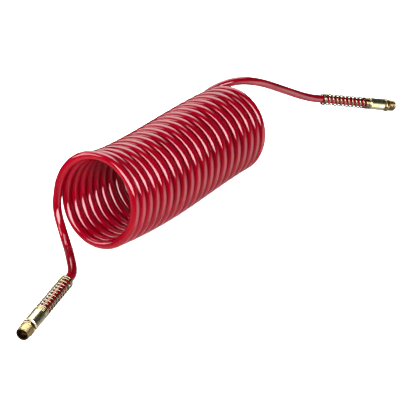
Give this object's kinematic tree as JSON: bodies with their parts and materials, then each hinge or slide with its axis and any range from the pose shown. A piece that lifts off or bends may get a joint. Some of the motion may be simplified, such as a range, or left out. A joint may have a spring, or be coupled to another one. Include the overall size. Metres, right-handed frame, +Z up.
{
  "type": "coiled air hose",
  "caption": "Self-recoiling compressed-air hose: a coiled tube with a free tail at each end, each ending in a spring guard, a crimped ferrule and a swivelling male taper-thread fitting.",
  "frame": {"origin": "on the floor, under the middle of the whole part's box as it lies in the picture", "axes": "+Z up from the floor, +Y along the coil's axis from the near end to the far end, +X to the side that both end assemblies lie towards"},
  "size_m": [0.1336, 0.7094, 0.1042],
  "materials": {
    "tube": "glossy",
    "zinc_steel_wire": "satin",
    "zinc_steel": "satin",
    "brass": "machined",
    "brass_inner": "machined",
    "ring_steel": "satin",
    "seal_rubber": "matt"
  },
  "bodies": {
    "hose": {"hose_coil": "tube", "near_tail": "tube", "near_spring_guard": "zinc_steel_wire", "near_ferrule": "zinc_steel", "near_stem": "brass_inner", "near_o_ring": "seal_rubber", "near_retaining_ring": "ring_steel"},
    "near_male": {"near_male_fitting": "brass"},
    "far_end": {"far_tail": "tube", "far_spring_guard": "zinc_steel_wire", "far_ferrule": "zinc_steel", "far_stem": "brass_inner", "far_o_ring": "seal_rubber", "far_retaining_ring": "ring_steel"},
    "far_male": {"far_male_fitting": "brass"}
  },
  "joints": [
    {"name": "coil_stretch", "type": "slide", "parent": "hose", "child": "far_end", "axis": [0, 1, 0], "range_m": [0, 3.2], "stiffness_N_per_m": 4, "deforming": ["hose_coil"]},
    {"name": "near_swivel", "type": "hinge", "parent": "hose", "child": "near_male", "pos_m": [0.04605, -0.33787, 0.00735], "axis": [0.2899, -0.9571, 0], "continuous": true},
    {"name": "far_swivel", "type": "hinge", "parent": "far_end", "child": "far_male", "pos_m": [0.0542, 0.33814, 0.01072], "axis": [0.4345, 0.861, -0.2645], "continuous": true}
  ]
}
